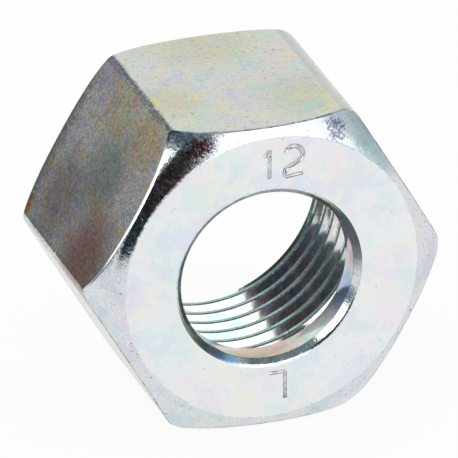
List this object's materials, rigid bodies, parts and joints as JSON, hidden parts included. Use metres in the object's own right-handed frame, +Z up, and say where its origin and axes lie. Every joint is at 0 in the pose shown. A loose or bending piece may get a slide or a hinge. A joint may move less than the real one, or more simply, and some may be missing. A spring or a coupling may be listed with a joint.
{
  "type": "hydraulic fitting nut",
  "caption": "Hexagonal union nut of a compression tube fitting, with a fine internal thread, a conical ring seat and a smaller tube hole at its marked end.",
  "frame": {"origin": "centre of the bounding box, which is on the thread's axis halfway along the nut", "axes": "+Y along the thread's axis towards the open end that screws on, -Y towards the marked end where the tube goes in, +Z up with the nut lying on one flat, +X towards a corner of the hexagon"},
  "size_m": [0.0252, 0.0154, 0.022],
  "materials": {
    "zinc_plated_steel": "satin zinc plating with a clear iridescent passivation"
  },
  "bodies": {
    "root": {"nut": "zinc_plated_steel"}
  },
  "joints": []
}
